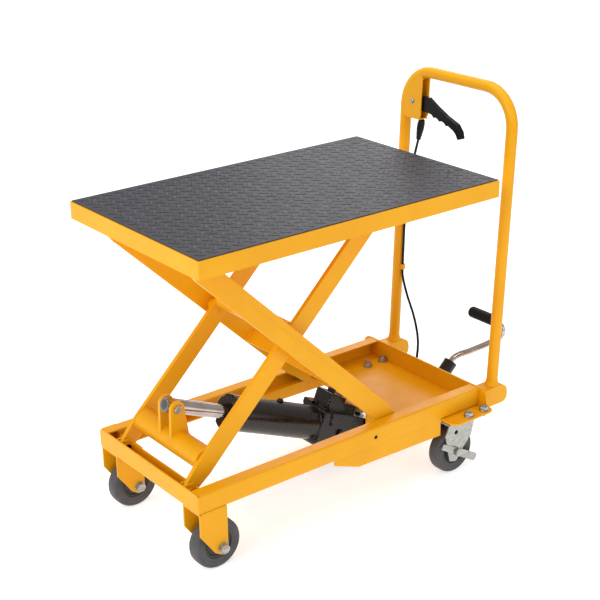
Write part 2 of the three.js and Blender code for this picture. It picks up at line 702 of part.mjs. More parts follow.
// ---------------------------------------------------------------- platform
function platformDeck() {
  const halfLength = PLATFORM_LENGTH / 2;
  const halfWidth = PLATFORM_WIDTH / 2;
  const corner = 3;
  const rim = outline([
    [-halfLength, -halfWidth, corner], [halfLength, -halfWidth, corner],
    [halfLength, halfWidth, corner], [-halfLength, halfWidth, corner],
  ]);
  const t = PLATFORM_SHEET;
  const body = cut(
    plateZ(rim, PLATFORM_TOP - PLATFORM_SKIRT, PLATFORM_TOP, 4),
    box(-halfLength + t, halfLength - t, -halfWidth + t, halfWidth - t, 0, PLATFORM_TOP - t),
  );
  return piece('platform_deck', body, yellowPaint);
}

function platformMat() {
  const inset = 3;
  const halfLength = PLATFORM_LENGTH / 2 - inset;
  const halfWidth = PLATFORM_WIDTH / 2 - inset;
  const bottom = PLATFORM_TOP + GAP;
  const body = box(-halfLength, halfLength, -halfWidth, halfWidth, bottom, bottom + MAT_THICKNESS);
  return piece('platform_mat', body, matRubber);
}

// A channel open towards the arm, which the upper roller runs in.
function platformTrack({ name, sign }) {
  const top = PLATFORM_TOP - PLATFORM_SHEET - GAP;
  const bottom = PLATFORM_TOP - PLATFORM_SKIRT;
  const [webNear, webFar] = span(sign, 84, 87);
  const [lipNear, lipFar] = span(sign, 85, 108);
  const [front, rear] = [45, PLATFORM_LENGTH / 2 - PLATFORM_SHEET - GAP];
  const body = join(
    box(front, rear, webNear, webFar, bottom, top),
    box(front, rear, lipNear, lipFar, top - 3, top),
    box(front, rear, lipNear, lipFar, bottom, bottom + 1.8),
  );
  return piece(`platform_track_${name}`, body, yellowPaint);
}

// The two ears and the pin that carry the upper end of an outer arm.
function platformBracket({ name, sign }) {
  const top = PLATFORM_TOP - PLATFORM_SHEET - GAP;
  const half = 16;
  const ear = outline([
    [PIVOT_X - half, top], [PIVOT_X - half, platformPivotZ - 15, 10],
    [PIVOT_X + half, platformPivotZ - 15, 10], [PIVOT_X + half, top],
  ]);
  const face = ARM_THICKNESS / 2 + 1;
  const outside = face + 4;
  const [innerNear, innerFar] = span(sign, OUTER_ARM_Y - outside, OUTER_ARM_Y - face);
  const [outerNear, outerFar] = span(sign, OUTER_ARM_Y + face, OUTER_ARM_Y + outside);
  const [backNear, backFar] = span(sign, OUTER_ARM_Y - outside, OUTER_ARM_Y + outside);
  const body = join(
    plateY(ear, innerNear, innerFar),
    plateY(ear, outerNear, outerFar),
    box(PIVOT_X - half, PIVOT_X + half, backNear, backFar, top - 1.7, top),
    barY(PIVOT_X, platformPivotZ, backNear - 2, backFar + 2, PIN_RADIUS),
  );
  return piece(`platform_bracket_${name}`, body, yellowPaint);
}

function platform() {
  const group = new THREE.Group();
  group.add(platformDeck(), platformMat());
  for (const side of SIDES) {
    group.add(platformTrack(side), platformBracket(side));
  }
  return group;
}

// ---------------------------------------------------------------- hydraulic ram
// Drawn in a frame with its origin at the foot pin and the clevis pin at -X.
const BLOCK_FRONT = -156;
const GLAND_FACE = -377;
const VALVE_FACE = 64;            // side of the valve housing on the block

function barX(x0, x1, radius, sides = 28) {
  return bar([x0, 0, 0], [x1, 0, 0], radius, sides);
}

function cylinderTube() {
  const body = cut(
    barX(GLAND_FACE, BLOCK_FRONT - GAP, TUBE_RADIUS, 32),
    barX(GLAND_FACE - 1, BLOCK_FRONT + 1, TUBE_BORE, 32),
  );
  return piece('cylinder_tube', body, blackPaint);
}

function glandNut() {
  const body = cut(
    join(
      barX(GLAND_FACE - 12, GLAND_FACE - GAP, TUBE_RADIUS + 0.5, 32),
      barX(GLAND_FACE - 16, GLAND_FACE - 11, TUBE_RADIUS - 5, 32),
      barX(GLAND_FACE - 11, GLAND_FACE + 22, TUBE_BORE - GAP, 32),
    ),
    barX(GLAND_FACE - 30, GLAND_FACE + 30, ROD_RADIUS + GAP),
  );
  return piece('gland_nut', body, blackPaint);
}

// The rod's eye is wider than the clevis pin by the clearance of a real pinned joint.
function pistonRod() {
  const nose = -ramLength - 18;
  const pistonFace = -285;
  const body = cut(
    join(
      barX(nose + 2, pistonFace + 5, ROD_RADIUS),
      barX(nose, nose + 3, ROD_RADIUS - 2),
      barX(pistonFace, pistonFace + 16, TUBE_BORE - GAP, 32),
    ),
    barY(-ramLength, 0, -20, 20, AXLE_RADIUS + GAP),
  );
  return piece('piston_rod', body, chrome);
}

// The foot pin has open room all round in the block, because the ram hangs from the clevis pin.
function pumpBlock() {
  const footRoom = 13.5;
  const core = outline([
    [BLOCK_FRONT, -43, 6], [14, -34, 12], [14, 6], [8, 12], [8, 30, 6], [-60, 37, 4], [BLOCK_FRONT, 37, 6],
  ]);
  const housing = outline([
    [-140, 30], [-140, 76, 5], [-110, 72, 6], [-98, 59, 6], [-54, 54, 8], [-54, 30],
  ]);
  const lug = outline([[4, 12], [32, 12, 8], [38, 24, 8], [30, 36, 8], [4, 30]]);
  const pinX = 26;
  const pinZ = 24;
  const body = cut(
    join(
      plateY(core, -38, 38),
      box(-120, -50, 36, VALVE_FACE, -28, 26),
      bar([-100, 51, 20], [-100, 51, 47], 11, 6),
      bar([-72, 51, 20], [-72, 51, 40], 9, 6),
      box(BLOCK_FRONT + 4, BLOCK_FRONT + 34, 18, 46, 30, 44),
      plateY(housing, -22, 28),
      plateY(lug, PEDAL_Y - 16, PEDAL_Y - 9),
      plateY(lug, PEDAL_Y + 9, PEDAL_Y + 16),
      barY(pinX, pinZ, PEDAL_Y - 17, PEDAL_Y + 17, 5),
    ),
    barY(0, 0, -60, 60, footRoom, 20),
  );
  return piece('pump_block', body, blackPaint);
}

function fillerPlug() {
  const x = -258;
  const body = cut(
    join(
      bar([x, 0, TUBE_RADIUS + GAP], [x, 0, TUBE_RADIUS + 3], 8, 16),
      bar([x, 0, TUBE_RADIUS + 2], [x, 0, TUBE_RADIUS + 6], 6, 6),
    ),
    bar([x, 0, TUBE_RADIUS + 4], [x, 0, TUBE_RADIUS + 8], 2.5, 6),
  );
  return piece('filler_plug', body, blackPaint);
}

// The release valve's arm, which the cable pulls round its spindle.
function valveArm() {
  const lever = outline([[-6, -6, 5], [6, -6, 5], [6, 26, 5], [-6, 26, 5]]);
  const body = cut(
    plateY(lever, VALVE_FACE + GAP, VALVE_FACE + 4),
    barY(0, 20, VALVE_FACE - 5, VALVE_FACE + 9, 2, 12),
  );
  return piece('valve_arm', body, zinc, [-62, 0, -12]);
}

function ram() {
  const group = new THREE.Group();
  group.position.set(RAM_FOOT_X, 0, RAM_FOOT_Z);
  group.rotation.y = ramAngle;
  group.add(cylinderTube(), glandNut(), pistonRod(), pumpBlock(), fillerPlug(), valveArm());
  return group;
}

// ---------------------------------------------------------------- foot pedal, about its pivot
function pedalLever() {
  const half = 8;
  const elbow = [168, 24];
  const tip = [206, 60];
  const strip = outline([
    [-11, -11, 8], [10, -11], [elbow[0] + 4, elbow[1] - 9, 6], [tip[0] + 9, tip[1] - 1, 3],
    [tip[0] - 1, tip[1] + 10, 3], [elbow[0] - 4, elbow[1] + 9, 6], [0, 12], [-11, 11, 8],
  ]);
  const axis = new THREE.Vector3(0.72, 0, 0.694);
  const socketStart = new THREE.Vector3(205, 0, 62);
  const socketEnd = socketStart.clone().addScaledVector(axis, 30);
  const boreStart = socketStart.clone().addScaledVector(axis, 8);
  const boreEnd = socketStart.clone().addScaledVector(axis, 40);
  const body = cut(
    join(plateY(strip, -half, half), bar(socketStart.toArray(), socketEnd.toArray(), 16, 20)),
    bar(boreStart.toArray(), boreEnd.toArray(), PEDAL_ROD_RADIUS + GAP, 16),
    barY(0, 0, -20, 20, 5 + GAP),
  );
  return piece('pedal_lever', body, blackPaint);
}

// Centre line of the bent pedal rod, from inside the socket to inside the grip.
const GRIP_INNER_END = [GRIP_X - PEDAL_X, -14 - PEDAL_Y, GRIP_Z - PEDAL_Z];
const PEDAL_ROD_ROUTE = [
  [213, 0, 69.7], [232, 0, 88], [238, -3, 93.5], [246, -11, 100.5], [257, -28, 110],
  [276, -63, 134], [286, -81, 149], [290.3, -91, 158.5], [291.4, -96, 167], [291.6, -96.5, 175],
  [291.6, -93, 183], [291.6, -86, 188.5], [291.6, -77, 190.3], [291.6, -4, 190.3],
];

function pedalArm() {
  return piece('pedal_arm', tube(PEDAL_ROD_ROUTE, PEDAL_ROD_RADIUS, 16), chrome);
}

function pedalGrip() {
  const [x, y, z] = GRIP_INNER_END;
  const length = 78;
  const bore = PEDAL_ROD_RADIUS + GAP;
  const profile = [
    [0, 0], [GRIP_RADIUS - 4, 0], [GRIP_RADIUS - 1, -1.5], [GRIP_RADIUS, -5],
    [GRIP_RADIUS, -length + 3], [GRIP_RADIUS - 1.5, -length], [bore, -length], [bore, -4], [0, -4], [0, 0],
  ];
  return piece('pedal_grip', turned(profile.reverse(), 28), blackRubber, [x, y, z]);
}

function pedal() {
  const group = new THREE.Group();
  group.position.set(PEDAL_X, PEDAL_Y, PEDAL_Z);
  group.add(pedalLever(), pedalArm(), pedalGrip());
  return group;
}

// ---------------------------------------------------------------- push handle
// Drawn upright about the foot between the posts, then leaned back.
function handleRoute() {
  const corner = (centreY, start, end) => {
    const steps = 9;
    return Array.from({ length: steps + 1 }, (_, i) => {
      const angle = start + (end - start) * i / steps;
      return [0, centreY + HANDLE_CORNER * Math.cos(angle), HANDLE_HEIGHT - HANDLE_CORNER
        + HANDLE_CORNER * Math.sin(angle)];
    });
  };
  const bendY = HANDLE_POST_Y - HANDLE_CORNER;
  return [
    [0, HANDLE_POST_Y, 0],
    ...corner(bendY, 0, Math.PI / 2),
    ...corner(-bendY, Math.PI / 2, Math.PI),
    [0, -HANDLE_POST_Y, 0],
  ];
}

const GUIDE_HEIGHT = 229;
const GUIDE_Y = HANDLE_POST_Y - HANDLE_RADIUS - CABLE_RADIUS - 1;

function handleTube() {
  const guide = cut(
    bar([0, GUIDE_Y, GUIDE_HEIGHT - 6], [0, GUIDE_Y, GUIDE_HEIGHT + 6], CABLE_RADIUS + 3, 16),
    bar([0, GUIDE_Y, GUIDE_HEIGHT - 8], [0, GUIDE_Y, GUIDE_HEIGHT + 8], CABLE_RADIUS + 0.8, 16),
  );
  const post = bar([0, HANDLE_POST_Y, GUIDE_HEIGHT - 10], [0, HANDLE_POST_Y, GUIDE_HEIGHT + 10],
    HANDLE_RADIUS - 1, 20);
  return piece('handle_tube', join(tube(handleRoute(), HANDLE_RADIUS, 20), cut(guide, post)), yellowPaint);
}

const LEVER_Y = 131;              // release lever pivot
const LEVER_HEIGHT = 626.7;
const LEVER_PIN = 4;

function leverHousing() {
  const bendY = HANDLE_POST_Y - HANDLE_CORNER;
  const bendZ = HANDLE_HEIGHT - HANDLE_CORNER;
  const reach = HANDLE_CORNER - 4;
  const front = 103;
  const bottom = 590;
  const side = new THREE.Shape();
  side.moveTo(front, bottom + 7);
  side.lineTo(front + 5, bottom);
  side.lineTo(bendY + reach, bottom);
  side.absarc(bendY, bendZ, reach, 0, Math.acos((front - bendY) / reach), false);
  side.closePath();
  const outside = HANDLE_RADIUS;
  const thickness = 2.5;
  const route = handleRoute();
  const body = cut(
    join(
      plateX(side, -outside, -outside + thickness),
      plateX(side, outside - thickness, outside),
      box(-outside, outside, front + 3, 148, bottom - 2, bottom - 2 + thickness),
    ),
    tube(route, HANDLE_RADIUS + GAP, 20),
    bar([-20, LEVER_Y, LEVER_HEIGHT], [20, LEVER_Y, LEVER_HEIGHT], LEVER_PIN + GAP, 16),
    bar([0, 112, bottom - 10], [0, 112, bottom + 10], CABLE_RADIUS + 0.8, 16),
  );
  return piece('lever_housing', body, yellowPaint);
}

function leverPivotBolt() {
  const face = HANDLE_RADIUS + GAP;
  const body = join(
    bar([-face - 2, LEVER_Y, LEVER_HEIGHT], [face + 2, LEVER_Y, LEVER_HEIGHT], LEVER_PIN, 16),
    bar([-face - 4, LEVER_Y, LEVER_HEIGHT], [-face, LEVER_Y, LEVER_HEIGHT], 6.5, 20),
    bar([face, LEVER_Y, LEVER_HEIGHT], [face + 4, LEVER_Y, LEVER_HEIGHT], 6.5, 6),
  );
  return piece('lever_pivot_bolt', body, zinc);
}

// The hand lever, drawn about its pivot, with finger ridges below and a hooked tip.
function releaseLever() {
  const shape = outline([
    [12, -4, 6], [8, 12, 6], [-16, 13], [-42, 13, 8], [-67, -1], [-100, -16.5], [-136, -29.5, 8],
    [-149, -44], [-153, -58, 2], [-142, -62, 2], [-136, -52], [-127, -44.5], [-111, -37.5, 4],
    [-103, -38, 2], [-97, -33], [-88, -30.5], [-82, -33, 2], [-76, -28], [-70, -26], [-64, -28, 2],
    [-58, -22.5], [-48, -20.5], [-28, -20, 6], [0, -11, 6],
  ]);
  const half = 6.5;
  const body = cut(plateX(shape, -half, half, 4), bar([-20, 0, 0], [20, 0, 0], LEVER_PIN + GAP, 16));
  return piece('release_lever', body, blackPaint, [0, LEVER_Y, LEVER_HEIGHT]);
}

function handle() {
  const group = new THREE.Group();
  group.position.set(HANDLE_FOOT_X, 0, HANDLE_FOOT_Z);
  group.rotation.y = HANDLE_LEAN;
  group.add(handleTube(), leverHousing(), leverPivotBolt(), releaseLever());
  return group;
}

// ---------------------------------------------------------------- release cable
// From the boot below the lever housing, through the guide on the post, to the release valve.
const CABLE_POINTS = [
  [460.6, 118.6, 662], [458, 128, 622], [455.2, 136, 582], [452.2, 143, 532], [448, 146.6, 444],
  [445.7, 146.5, 374], [444.9, 146.5, 354], [444, 145.6, 334], [440, 126, 294], [431, 88, 245],
  [418, 60, 200], [405, 50, 158], [396, 48.5, 130], [382, 48.8, 115.5], [345, 52.6, 109],
  [292, 62.4, 104.8], [241, 66.9, 102.2], [200, 67, 101.5], [164, 67, 101.5],
];

function releaseCable() {
  const route = new THREE.CatmullRomCurve3(CABLE_POINTS.map((p) => new THREE.Vector3(...p)));
  const stations = route.getSpacedPoints(44).map((p) => p.toArray());
  return piece('release_cable', tube(stations, CABLE_RADIUS, 8), blackRubber);
}

function cableBoot() {
  const start = new THREE.Vector3(464.8, 112, 710.6);
  const end = new THREE.Vector3(460.8, 118.2, 663.5);
  const length = start.distanceTo(end);
  const body = turned([
    [0, 0], [5, 0], [6.5, 10], [8.5, 26], [8.5, 38], [7, length - 1], [6, length], [0, length],
  ], 16);
  const turn = new THREE.Quaternion().setFromUnitVectors(
    new THREE.Vector3(0, 1, 0), start.clone().sub(end).normalize());
  return piece('cable_boot', body.applyQuaternion(turn).translate(...end.toArray()), blackRubber);
}

// ---------------------------------------------------------------- the whole table
const table = new THREE.Group();
table.position.set(-centreX, 0, WHEEL_RADIUS - AXLE_Z);
table.add(frontChannel(), rearTray(), pumpBracket(), innerArms(), outerArms(), platform());
table.add(ram(), pedal(), handle(), releaseCable(), cableBoot());
for (const side of SIDES) {
  table.add(sideRail(side), handleSocket(side), frontFork(side), frontAxle(side));
  table.add(frontWheel(side), rearCaster(side));
}

export default table;
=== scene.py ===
import json
import math
import random

import bmesh
import bpy
from mathutils import Matrix, Vector


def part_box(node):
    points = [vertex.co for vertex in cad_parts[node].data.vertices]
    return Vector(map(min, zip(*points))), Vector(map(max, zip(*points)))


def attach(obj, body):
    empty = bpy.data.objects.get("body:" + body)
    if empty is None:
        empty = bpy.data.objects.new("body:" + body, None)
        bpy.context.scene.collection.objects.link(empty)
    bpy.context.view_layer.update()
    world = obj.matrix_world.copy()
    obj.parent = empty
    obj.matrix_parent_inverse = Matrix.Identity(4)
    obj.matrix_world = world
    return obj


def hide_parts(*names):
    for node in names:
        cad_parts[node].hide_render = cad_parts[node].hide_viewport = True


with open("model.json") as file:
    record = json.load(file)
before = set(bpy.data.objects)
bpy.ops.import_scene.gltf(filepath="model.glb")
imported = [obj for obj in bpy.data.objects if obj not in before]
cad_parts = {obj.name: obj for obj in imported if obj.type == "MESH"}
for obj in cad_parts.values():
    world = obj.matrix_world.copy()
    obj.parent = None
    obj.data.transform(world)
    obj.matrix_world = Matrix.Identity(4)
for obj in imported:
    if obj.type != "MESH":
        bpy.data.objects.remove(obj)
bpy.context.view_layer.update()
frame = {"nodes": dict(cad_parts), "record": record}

MM = 0.001
NODES = frame["nodes"]
JOINTS = {joint["name"]: joint for joint in frame["record"]["behaviour"]["joints"]}
SIDES = (("left", -1), ("right", 1))
Y_AXIS = Vector((0, 1, 0))
Z_AXIS = Vector((0, 0, 1))

# ------------------------------------------------------------------ camera and studio
CAMERA_PLACE = Vector((-1.6527, -2.0650, 1.4806))
CAMERA_YAW = math.radians(37.75)
CAMERA_PITCH = math.radians(22.0)
CAMERA_ROLL = math.radians(-0.84)
CAMERA_LENS = 81.44
SENSOR_WIDTH = 36.0


def make_camera():
    forward = Vector((
        math.cos(CAMERA_PITCH) * math.sin(CAMERA_YAW),
        math.cos(CAMERA_PITCH) * math.cos(CAMERA_YAW),
        -math.sin(CAMERA_PITCH),
    ))
    right = forward.cross(Z_AXIS).normalized()
    up = right.cross(forward)
    turned_right = right * math.cos(CAMERA_ROLL) + up * math.sin(CAMERA_ROLL)
    turned_up = up * math.cos(CAMERA_ROLL) - right * math.sin(CAMERA_ROLL)
    data = bpy.data.cameras.new("camera")
    data.lens = CAMERA_LENS
    data.sensor_width = SENSOR_WIDTH
    camera = bpy.data.objects.new("camera", data)
    rotation = Matrix((turned_right, turned_up, -forward)).transposed().to_4x4()
    camera.matrix_world = Matrix.Translation(CAMERA_PLACE) @ rotation
    bpy.context.scene.collection.objects.link(camera)
    bpy.context.scene.camera = camera


def area_light(name, place, target, size, power, color=(1, 1, 1)):
    data = bpy.data.lights.new(name, "AREA")
    data.shape = "RECTANGLE"
    data.size, data.size_y = size
    data.energy = power
    data.color = color
    light = bpy.data.objects.new(name, data)
    light.location = place
    light.rotation_euler = (Vector(target) - Vector(place)).to_track_quat("-Z", "Y").to_euler()
    bpy.context.scene.collection.objects.link(light)


def make_studio():
    scene = bpy.context.scene
    scene.view_settings.view_transform = "Standard"
    world = bpy.data.worlds.new("studio")
    scene.world = world
    world.use_nodes = True
    background = world.node_tree.nodes["Background"]
    background.inputs["Color"].default_value = (1.0, 1.0, 1.0, 1)
    background.inputs["Strength"].default_value = 0.56
    middle = (0, 0, 0.35)
    area_light("key", (-2.8, -0.6, 2.2), middle, (1.8, 1.8), 46)
    area_light("fill", (0.9, -3.0, 1.5), middle, (2.2, 1.6), 13)
    area_light("top", (0.2, 0.3, 3.2), middle, (2.6, 1.8), 43)
    area_light("rim", (2.2, 2.2, 1.8), middle, (1.4, 1.4), 18)


def make_floor():
    mesh = bpy.data.meshes.new("floor")
    reach = 14.0
    corners = [(-reach, -reach, 0), (reach, -reach, 0), (reach, reach, 0), (-reach, reach, 0)]
    mesh.from_pydata(corners, [], [(0, 1, 2, 3)])
    floor = bpy.data.objects.new("floor", mesh)
    bpy.context.scene.collection.objects.link(floor)
    material = bpy.data.materials.new("floor")
    material.use_nodes = True
    shader = material.node_tree.nodes["Principled BSDF"]
    shader.inputs["Base Color"].default_value = (0.80, 0.80, 0.80, 1)
    shader.inputs["Roughness"].default_value = 0.8
    shader.inputs["Specular IOR Level"].default_value = 0.1
    shader.inputs["Emission Color"].default_value = (1, 1, 1, 1)
    shader.inputs["Emission Strength"].default_value = 0.56
    mesh.materials.append(material)


make_camera()
make_studio()
make_floor()


# ------------------------------------------------------------------ materials
class Look:
    """A material under construction: a Principled shader fed by noise in object space."""

    def __init__(self, name, roughness, **sockets):
        self.material = bpy.data.materials.new(name)
        self.material.use_nodes = True
        self.tree = self.material.node_tree
        self.shader = self.tree.nodes["Principled BSDF"]
        self.shader.inputs["Roughness"].default_value = roughness
        for socket, value in sockets.items():
            self.shader.inputs[socket.replace("_", " ")].default_value = value
        self.place = self.tree.nodes.new("ShaderNodeTexCoord").outputs["Object"]
        self.height = None

    def link(self, source, target):
        self.tree.links.new(source, target)

    def noise(self, scale, detail=3.0, stretch=None):
        place = self.place
        if stretch:
            mapping = self.tree.nodes.new("ShaderNodeMapping")
            mapping.inputs["Scale"].default_value = stretch
            self.link(place, mapping.inputs["Vector"])
            place = mapping.outputs["Vector"]
        node = self.tree.nodes.new("ShaderNodeTexNoise")
        node.inputs["Scale"].default_value = scale
        node.inputs["Detail"].default_value = detail
        self.link(place, node.inputs["Vector"])
        return node.outputs["Fac"]

    def spread(self, source, low, high, start=0.3, end=0.7):
        node = self.tree.nodes.new("ShaderNodeMapRange")
        node.inputs["From Min"].default_value = start
        node.inputs["From Max"].default_value = end
        node.inputs["To Min"].default_value = low
        node.inputs["To Max"].default_value = high
        self.link(source, node.inputs["Value"])
        return node.outputs["Result"]

    def colors(self, source, *stops):
        node = self.tree.nodes.new("ShaderNodeValToRGB")
        ramp = node.color_ramp
        while len(ramp.elements) < len(stops):
            ramp.elements.new(0.5)
        for element, (place, color) in zip(ramp.elements, stops):
            element.position = place
            element.color = (*color, 1)
        self.link(source, node.inputs["Fac"])
        self.link(node.outputs["Color"], self.shader.inputs["Base Color"])
        return self

    def rough(self, source, low, high):
        self.link(self.spread(source, low, high), self.shader.inputs["Roughness"])
        return self

    def bump(self, source, depth, strength=1.0):
        node = self.tree.nodes.new("ShaderNodeBump")
        node.inputs["Strength"].default_value = strength
        node.inputs["Distance"].default_value = depth
        self.link(source, node.inputs["Height"])
        if self.height:
            self.link(self.height, node.inputs["Normal"])
        self.height = node.outputs["Normal"]
        self.link(self.height, self.shader.inputs["Normal"])
        return self


def linear(hexcode):
    """sRGB hex to a linear colour."""
    values = [int(hexcode[i:i + 2], 16) / 255 for i in (1, 3, 5)]
    return tuple(v / 12.92 if v <= 0.04045 else ((v + 0.055) / 1.055) ** 2.4 for v in values)


def powder_coat(name, color, deeper):
    look = Look(name, 0.38, Coat_Weight=0.05, Coat_Roughness=0.25, Specular_IOR_Level=0.2)
    drift = look.noise(7.0)
    look.colors(drift, (0.25, linear(deeper)), (0.72, linear(color)))
    look.rough(look.noise(35.0), 0.34, 0.48)
    look.bump(look.noise(620.0, 2.0), 0.00022, 0.3)
    look.bump(look.noise(26.0, 2.0), 0.0012, 0.05)
    return look.material


def gloss_black(name):
    look = Look(name, 0.3, Coat_Weight=0.3, Coat_Roughness=0.12, Specular_IOR_Level=0.3)
    look.colors(look.noise(22.0), (0.2, linear("#080707")), (0.8, linear("#110e0d")))
    look.rough(look.noise(60.0), 0.2, 0.4)
    look.bump(look.noise(420.0), 0.0002, 0.12)
    return look.material


def rough_casting(name):
    """Thick gloss paint over the knobbly skin of a sand casting."""
    look = Look(name, 0.22, Coat_Weight=0.25, Coat_Roughness=0.08, Specular_IOR_Level=0.3)
    look.colors(look.noise(40.0), (0.2, linear("#070606")), (0.8, linear("#110e0e")))
    look.rough(look.noise(90.0), 0.12, 0.28)
    look.bump(look.noise(240.0, 4.0), 0.0014, 0.9)
    return look.material


def zinc_plate(name):
    look = Look(name, 0.4, Metallic=0.8)
    stops = (0.2, linear("#8f918d")), (0.55, linear("#a8aaa6")), (0.85, linear("#bcbcb6"))
    look.colors(look.noise(95.0), *stops)
    look.rough(look.noise(240.0), 0.18, 0.36)
    look.bump(look.noise(900.0, 2.0), 0.0001, 0.3)
    return look.material


def bright_chrome(name):
    look = Look(name, 0.12, Metallic=1.0)
    look.colors(look.noise(30.0), (0.2, linear("#a39e9c")), (0.8, linear("#c4c0be")))
    look.rough(look.noise(180.0, 3.0, (1, 1, 12)), 0.05, 0.12)
    look.bump(look.noise(350.0, 2.0, (1, 1, 9)), 0.00006, 0.3)
    return look.material


def moulded(name, dark, light, roughness, grain, depth, shine=0.25):
    look = Look(name, roughness, Specular_IOR_Level=shine)
    look.colors(look.noise(40.0), (0.25, linear(dark)), (0.8, linear(light)))
    look.rough(look.noise(150.0), roughness - 0.08, roughness + 0.1)
    look.bump(look.noise(grain, 3.0), depth, 0.5)
    return look.material


FRAME_PAINT = powder_coat("frame_paint", "#edaa0b", "#e49f08")
BLACK_PAINT = gloss_black("black_paint")
CASTING = rough_casting("black_casting")
ZINC = zinc_plate("zinc_steel")
CHROME = bright_chrome("bright_chrome")
DULL_STEEL = moulded("dull_steel", "#4a4d49", "#686b66", 0.4, 260.0, 0.0003)
TYRE = moulded("grey_tyre", "#4b4a4c", "#5a595b", 0.55, 520.0, 0.0003)
CORE = moulded("wheel_core", "#454546", "#525254", 0.5, 380.0, 0.0002)
MAT = moulded("mat_rubber", "#424146", "#4b4a50", 0.45, 420.0, 0.0002, 0.06)
# The tread marks are coloured darker than the mat as painted shade for the shadowed flanks of their ribs.
TREAD_SHADE = moulded("mat_tread", "#1f1e22", "#28272b", 0.4, 420.0, 0.0002, 0.2)
RUBBER = moulded("black_rubber", "#0b0a0a", "#131212", 0.48, 500.0, 0.0002, 0.2)
PLASTIC = moulded("black_plastic", "#090808", "#110f0f", 0.34, 700.0, 0.00015, 0.18)
# Flat near-black: painted shade, for the mouths of holes, the inner pivot pin ends and the groove round the
# rod's end.
PAINTED_SHADE = moulded("hole_shadow", "#060505", "#0d0b0a", 0.8, 300.0, 0.0001)
SLOT_LOOK = {
    "frame_paint": FRAME_PAINT,
    "black_paint": BLACK_PAINT,
    "zinc_steel": ZINC,
    "bright_chrome": CHROME,
    "grey_tyre": TYRE,
    "wheel_core": CORE,
    "mat_rubber": MAT,
    "black_rubber": RUBBER,
    "black_plastic": PLASTIC,
}
SLOT_OF = {part["node"]: part["material_slot"] for part in frame["record"]["subparts"]}


# ------------------------------------------------------------------ shading of flat and round faces
def soft_shading_group():
    """Geometry nodes that shade smooth, with an edge wherever two faces meet at over 32 degrees."""
    group = bpy.data.node_groups.new("soft_shading", "GeometryNodeTree")
    group.interface.new_socket("Geometry", in_out="INPUT", socket_type="NodeSocketGeometry")
    group.interface.new_socket("Geometry", in_out="OUTPUT", socket_type="NodeSocketGeometry")
    nodes = group.nodes
    entry = nodes.new("NodeGroupInput")
    leave = nodes.new("NodeGroupOutput")
    faces = nodes.new("GeometryNodeSetShadeSmooth")
    edges = nodes.new("GeometryNodeSetShadeSmooth")
    edges.domain = "EDGE"
    edges.inputs["Shade Smooth"].default_value = False
    angle = nodes.new("GeometryNodeInputMeshEdgeAngle")
    sharp = nodes.new("FunctionNodeCompare")
    sharp.inputs["B"].default_value = math.radians(32)
    group.links.new(entry.outputs[0], faces.inputs["Geometry"])
    group.links.new(faces.outputs["Geometry"], edges.inputs["Geometry"])
    group.links.new(angle.outputs["Unsigned Angle"], sharp.inputs["A"])
    group.links.new(sharp.outputs["Result"], edges.inputs["Selection"])
    group.links.new(edges.outputs["Geometry"], leave.inputs[0])
    return group


SOFT_SHADING = soft_shading_group()


def shade(piece):
    piece.modifiers.new("shading", "NODES").node_group = SOFT_SHADING
    piece.modifiers.new("normals", "WEIGHTED_NORMAL").keep_sharp = True


def weld(piece):
    modifier = piece.modifiers.new("weld", "WELD")
    modifier.merge_threshold = 0.00002


def round_edges(piece, width, segments=2):
    modifier = piece.modifiers.new("edges", "BEVEL")
    modifier.width = width
    modifier.segments = segments
    modifier.limit_method = "ANGLE"
    modifier.angle_limit = math.radians(38)


def dress(node, edge=0.0007, flatten=True):
    """A carried-over CAD node: merged flat faces, small rounded edges, smooth round faces, its finish."""
    piece = NODES[node]
    weld(piece)
    if flatten:
        planar = piece.modifiers.new("planar", "DECIMATE")
        planar.decimate_type = "DISSOLVE"
        planar.angle_limit = math.radians(1.0)
    if edge:
        round_edges(piece, edge)
    shade(piece)
    paint(piece, SLOT_LOOK[SLOT_OF[node]])


def mould(node, voxel, passes):
    """A carried-over CAD node with all its edges melted round, as on a casting or a moulding."""
    piece = NODES[node]
    weld(piece)
    grid = piece.modifiers.new("grid", "REMESH")
    grid.mode = "VOXEL"
    grid.voxel_size = voxel
    grid.use_smooth_shade = True
    smooth = piece.modifiers.new("smooth", "SMOOTH")
    smooth.factor = 0.5
    smooth.iterations = passes
    paint(piece, SLOT_LOOK[SLOT_OF[node]])


def shrink(node, depth):
    """Moves each facet of a carried-over node in by the depth. A known fault: it alters a CAD part, and the
    facets come apart at their edges because they aren't welded yet."""
    modifier = NODES[node].modifiers.new("shrink", "DISPLACE")
    modifier.mid_level = 0.0
    modifier.strength = -depth


def paint(piece, material):
    piece.data.materials.clear()
    piece.data.materials.append(material)


# ------------------------------------------------------------------ building blocks for new pieces
def add_piece(name, bm, material, body, sharp=32):
    bmesh.ops.recalc_face_normals(bm, faces=bm.faces)
    for face in bm.faces:
        face.smooth = True
    for edge in bm.edges:
        if len(edge.link_faces) == 2 and edge.calc_face_angle(0) > math.radians(sharp):
            edge.smooth = False
    mesh = bpy.data.meshes.new(name)
    bm.to_mesh(mesh)
    bm.free()
    piece = bpy.data.objects.new(name, mesh)
    bpy.context.scene.collection.objects.link(piece)
    mesh.materials.append(material)
    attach(piece, body)
    return piece


def frame_along(direction, place):
    """A matrix whose Z axis is the direction, at the place."""
    turn = Vector(direction).normalized().to_track_quat("Z", "Y").to_matrix().to_4x4()
    return Matrix.Translation(place) @ turn


